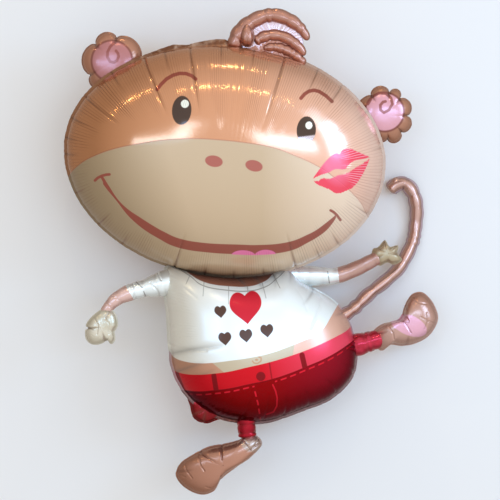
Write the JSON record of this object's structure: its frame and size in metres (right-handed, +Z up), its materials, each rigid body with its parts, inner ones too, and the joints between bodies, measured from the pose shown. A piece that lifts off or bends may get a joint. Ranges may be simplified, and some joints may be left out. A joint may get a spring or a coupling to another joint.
{
  "type": "monkey foil balloon",
  "caption": "Blown-up foil balloon in the shape of a small monkey in shirt and trousers, with a curled tail and scalloped ears, lying on its back.",
  "frame": {"origin": "on the surface the balloon lies on, under the middle of its box", "axes": "+Y from the feet to the top of the head, +Z up out of the belly and face, +X to the figure's left hand side as seen from above with the head up, which is the picture's right"},
  "size_m": [0.765, 0.9982, 0.3055],
  "materials": {
    "printed_foil": "gloss"
  },
  "bodies": {
    "root": {"foil_envelope": "printed_foil"}
  },
  "joints": []
}
